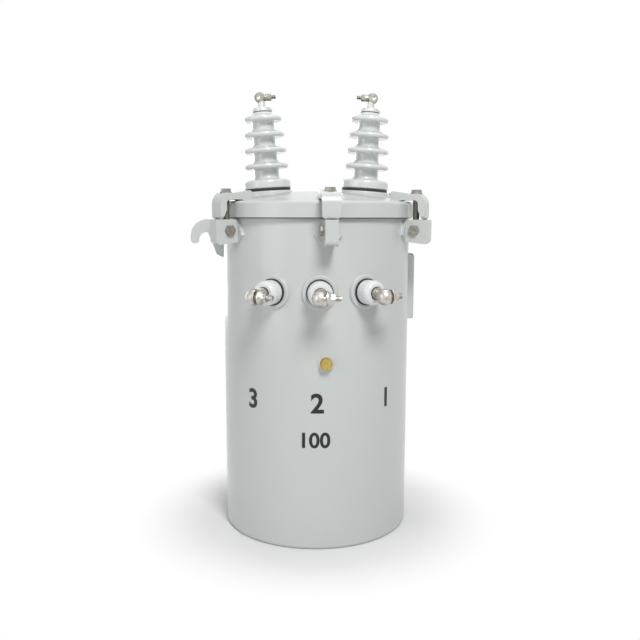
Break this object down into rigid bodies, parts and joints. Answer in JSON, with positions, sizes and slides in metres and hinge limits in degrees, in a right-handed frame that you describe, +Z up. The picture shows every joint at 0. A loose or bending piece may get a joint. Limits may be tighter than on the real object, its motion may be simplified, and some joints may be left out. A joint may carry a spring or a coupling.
{
  "type": "pole mounted transformer",
  "caption": "Single-phase pole mounted transformer: round tank with a clamped domed cover, leaning shed bushings on top, low voltage terminals in front and pole lugs at the back.",
  "frame": {"origin": "tank axis at the floor, the plane of the turned-in lower edge", "axes": "+Z up, +Y towards the pole, -Y the low voltage side, so +X is the right-hand side seen from the low voltage side"},
  "size_m": [0.6648, 0.682, 1.1618],
  "materials": {
    "tank_paint": "gloss",
    "grey_glaze": "gloss",
    "white_insulator": "gloss",
    "black_rubber": "matt",
    "zinc_bolts": "dull",
    "tinned_metal": "satin",
    "oil_fill": "matt",
    "plug_brass": "satin"
  },
  "bodies": {
    "root": {"clamp_arm_1": "tank_paint", "clamp_arm_2": "tank_paint", "clamp_arm_3": "tank_paint", "clamp_arm_4": "tank_paint", "clamp_arm_5": "tank_paint", "clamp_arm_6": "tank_paint", "clamp_bracket_1": "tank_paint", "clamp_bracket_2": "tank_paint", "clamp_bracket_3": "tank_paint", "clamp_bracket_4": "tank_paint", "clamp_bracket_5": "tank_paint", "clamp_bracket_6": "tank_paint", "core_and_oil": "oil_fill", "cover": "tank_paint", "cover_gasket": "black_rubber", "cross_bolts": "zinc_bolts", "hv_cap_left": "tinned_metal", "hv_cap_right": "tinned_metal", "hv_eyebolt_left": "tinned_metal", "hv_eyebolt_right": "tinned_metal", "hv_gaskets": "black_rubber", "hv_insulator_left": "grey_glaze", "hv_insulator_right": "grey_glaze", "hv_nuts": "tinned_metal", "hv_seals": "black_rubber", "level_plug": "plug_brass", "lifting_lug_left": "tank_paint", "lifting_lug_right": "tank_paint", "lv_bosses": "tank_paint", "lv_gaskets": "black_rubber", "lv_insulator_left": "white_insulator", "lv_insulator_middle": "white_insulator", "lv_insulator_right": "white_insulator", "lv_keeper_left": "tinned_metal", "lv_keeper_middle": "tinned_metal", "lv_keeper_right": "tinned_metal", "lv_nuts": "tinned_metal", "lv_seals": "black_rubber", "lv_terminal_left": "tinned_metal", "lv_terminal_middle": "tinned_metal", "lv_terminal_right": "tinned_metal", "plug_boss": "tank_paint", "side_plate": "tank_paint", "support_lug_low": "tank_paint", "support_lug_top": "tank_paint", "swing_bolts": "zinc_bolts", "tank_bottom": "tank_paint", "tank_wall": "tank_paint"}
  },
  "joints": []
}
